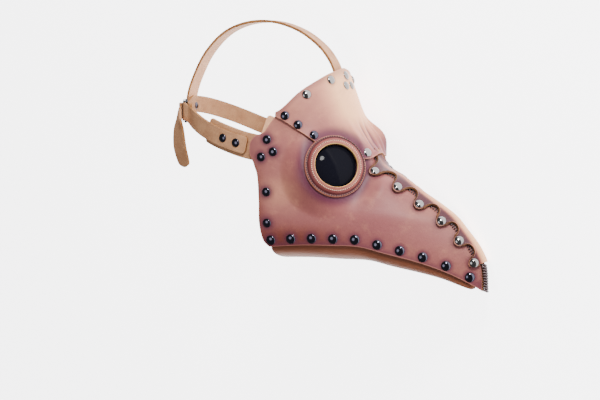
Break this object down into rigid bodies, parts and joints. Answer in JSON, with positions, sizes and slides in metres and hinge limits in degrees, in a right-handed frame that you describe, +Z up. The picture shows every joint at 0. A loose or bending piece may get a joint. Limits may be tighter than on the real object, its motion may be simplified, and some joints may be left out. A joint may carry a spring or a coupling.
{
  "type": "leather plague doctor mask",
  "caption": "Plague doctor mask in burnished leather with a long riveted beak, dark round lenses and buckled straps, lying on its left side.",
  "frame": {"origin": "middle of the footprint on the floor, the mask lying on its left side", "axes": "+X towards the beak's tip, +Z up from the floor; the wearer's right side faces up"},
  "size_m": [0.4174, 0.2542, 0.1911],
  "materials": {
    "panel_leather": "burnished, airbrushed darker at edges",
    "strap_leather": "natural tan, raw edges",
    "ring_leather": "wet formed, stitched",
    "strip_leather": "burnished",
    "gusset_leather": "satin brown",
    "rivet_metal": "dark nickel, polished",
    "buckle_metal": "black, glossy",
    "lens": "dark smoked, glossy"
  },
  "bodies": {
    "root": {"side_panel_right": "panel_leather", "side_panel_left": "panel_leather", "brow_panel": "panel_leather", "ridge_strip": "strip_leather", "beak_gusset": "gusset_leather", "eye_ring_right": "ring_leather", "lens_right": "lens", "strap_tab_right": "strap_leather", "rivet_brow_top_right_1": "rivet_metal", "rivet_brow_top_right_2": "rivet_metal", "rivet_seam_right_1": "rivet_metal", "rivet_seam_right_2": "rivet_metal", "rivet_seam_right_3": "rivet_metal", "rivet_ear_right_1": "rivet_metal", "rivet_ear_right_2": "rivet_metal", "rivet_ear_right_3": "rivet_metal", "rivet_strap_right_1": "rivet_metal", "rivet_strap_right_2": "rivet_metal", "rivet_cheek_right_1": "rivet_metal", "rivet_cheek_right_2": "rivet_metal", "rivet_lobe_right_1": "rivet_metal", "rivet_lobe_right_2": "rivet_metal", "rivet_lobe_right_3": "rivet_metal", "rivet_lobe_right_4": "rivet_metal", "rivet_lobe_right_5": "rivet_metal", "rivet_lobe_right_6": "rivet_metal", "rivet_nose_right": "rivet_metal", "eye_ring_left": "ring_leather", "lens_left": "lens", "strap_tab_left": "strap_leather", "rivet_brow_top_left_1": "rivet_metal", "rivet_brow_top_left_2": "rivet_metal", "rivet_seam_left_1": "rivet_metal", "rivet_seam_left_2": "rivet_metal", "rivet_seam_left_3": "rivet_metal", "rivet_ear_left_1": "rivet_metal", "rivet_ear_left_2": "rivet_metal", "rivet_ear_left_3": "rivet_metal", "rivet_strap_left_1": "rivet_metal", "rivet_strap_left_2": "rivet_metal", "rivet_cheek_left_1": "rivet_metal", "rivet_cheek_left_2": "rivet_metal", "rivet_lobe_left_1": "rivet_metal", "rivet_lobe_left_2": "rivet_metal", "rivet_lobe_left_3": "rivet_metal", "rivet_lobe_left_4": "rivet_metal", "rivet_lobe_left_5": "rivet_metal", "rivet_lobe_left_6": "rivet_metal", "rivet_nose_left": "rivet_metal", "rivet_brow_middle": "rivet_metal", "rivet_brow_right": "rivet_metal", "rivet_brow_left": "rivet_metal", "rivet_rear": "rivet_metal", "side_strap_right": "strap_leather", "side_strap_left": "strap_leather", "top_strap": "strap_leather", "buckle_frame": "buckle_metal", "buckle_prong": "buckle_metal"}
  },
  "joints": []
}
